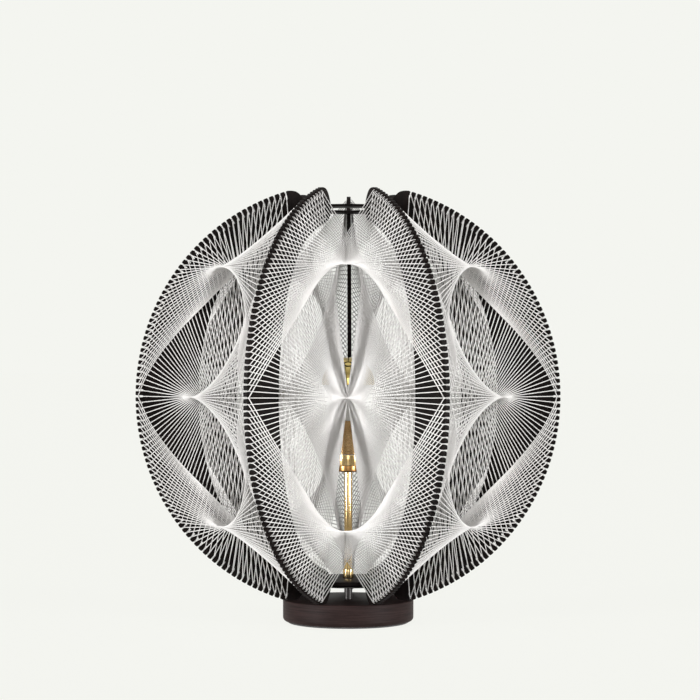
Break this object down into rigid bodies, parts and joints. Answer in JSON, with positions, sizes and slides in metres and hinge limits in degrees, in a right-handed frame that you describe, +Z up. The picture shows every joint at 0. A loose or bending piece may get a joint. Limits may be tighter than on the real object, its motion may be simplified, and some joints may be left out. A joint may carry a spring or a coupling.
{
  "type": "table lamp",
  "caption": "Globe table lamp: notched dark wood ribs strung with straight white cords round a brass stem with a crown-mirror bulb, on a round turned wood base.",
  "frame": {"origin": "centre of the base's underside, on the lamp's axis", "axes": "+Z up along the stem; -Y towards the front of the picture, where the panel between two ribs faces; +X to the right"},
  "size_m": [0.4786, 0.4667, 0.4945],
  "materials": {
    "felt": "matt felt",
    "base_wood": "satin, fine horizontal grain",
    "rib_wood": "satin, dark stain",
    "black_plastic": "matt",
    "zinc": "brushed",
    "black_steel": "satin black",
    "polished_brass": "polished",
    "dark_brass": "satin, aged",
    "holder_brass": "satin",
    "porcelain": "semi-gloss",
    "bulb_glass": "clear",
    "gold_mirror": "gold crown mirror",
    "white_cord": "white braided cord"
  },
  "bodies": {
    "lamp": {"base_pad": "felt", "base_disc": "base_wood", "cable_bush": "black_plastic", "base_washer": "zinc", "base_nut": "zinc", "stem_nipple": "black_steel", "stem_tube": "polished_brass", "stem_coupling": "polished_brass", "lower_plate": "rib_wood", "plate_spacer": "black_steel", "under_disc": "black_steel", "top_ring": "rib_wood", "holder_cap": "dark_brass", "holder_band": "polished_brass", "holder_skirt": "holder_brass", "holder_insert": "porcelain", "holder_contact": "holder_brass", "holder_socket": "holder_brass", "rib_1": "rib_wood", "rib_2": "rib_wood", "rib_3": "rib_wood", "rib_4": "rib_wood", "rib_5": "rib_wood", "rib_6": "rib_wood", "rib_7": "rib_wood", "cord_panel_1": "white_cord", "cord_panel_2": "white_cord", "cord_panel_3": "white_cord", "cord_panel_4": "white_cord", "cord_panel_5": "white_cord", "cord_panel_6": "white_cord", "cord_panel_7": "white_cord"},
    "bulb": {"bulb_contact": "zinc", "bulb_insulator": "black_plastic", "bulb_screw": "zinc", "bulb_glass": "bulb_glass", "bulb_mirror": "gold_mirror"}
  },
  "joints": [
    {"name": "bulb_lift", "type": "slide", "parent": "lamp", "child": "bulb", "axis": [0, 0, 1], "range_m": [0, 0.285]}
  ]
}
